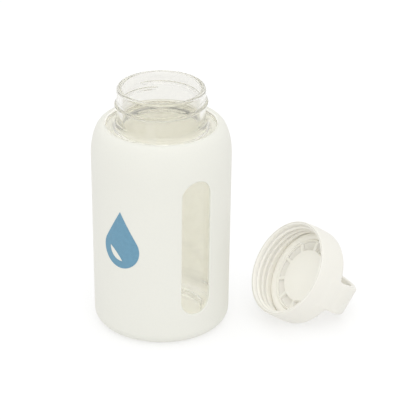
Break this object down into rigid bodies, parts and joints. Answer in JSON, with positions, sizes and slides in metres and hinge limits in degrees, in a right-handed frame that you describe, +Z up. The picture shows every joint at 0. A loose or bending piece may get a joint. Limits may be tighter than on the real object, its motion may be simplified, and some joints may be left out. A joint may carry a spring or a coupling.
{
  "type": "wide-mouth glass water bottle with silicone sleeve and loop cap",
  "caption": "Wide-mouth glass bottle in a silicone sleeve with a viewing slot, its screw cap with a carry loop lying beside it.",
  "frame": {"origin": "centre of the bottle's flat base, on the surface it stands on", "axes": "+Z up the bottle's axis through the mouth; +X towards the cap lying beside it; -Y towards the side with the mark and the slot"},
  "size_m": [0.158, 0.082, 0.1487],
  "materials": {
    "clear_glass": "clear, faintly warm, polished",
    "sleeve_silicone": "satin moulded silicone, warm off-white",
    "print_ink": "flat slate-blue print",
    "cap_plastic": "matte moulded polypropylene, warm off-white",
    "liner_plastic": "matte moulded polypropylene",
    "disc_plastic": "satin moulded polypropylene",
    "gasket_silicone": "translucent silicone"
  },
  "bodies": {
    "bottle": {"glass_bottle": "clear_glass", "silicone_sleeve": "sleeve_silicone", "sleeve_mark": "print_ink"},
    "cap_seal": {"seal_gasket": "gasket_silicone"},
    "cap": {"cap_shell": "cap_plastic", "cap_thread_liner": "liner_plastic", "seal_disc": "disc_plastic"}
  },
  "joints": [
    {"name": "cap_carry", "type": "hinge", "parent": "bottle", "child": "cap_seal", "pos_m": [0.03611, 0.00027, 0.08998], "axis": [-0.7298, -0.5008, -0.4653], "range_deg": [0, 175.94]},
    {"name": "cap_turn", "type": "hinge", "parent": "cap_seal", "child": "cap", "pos_m": [0.07415, -0.0036, 0.03447], "axis": [0.7138, 0.4138, -0.565], "range_deg": [-540, 0]}
  ]
}
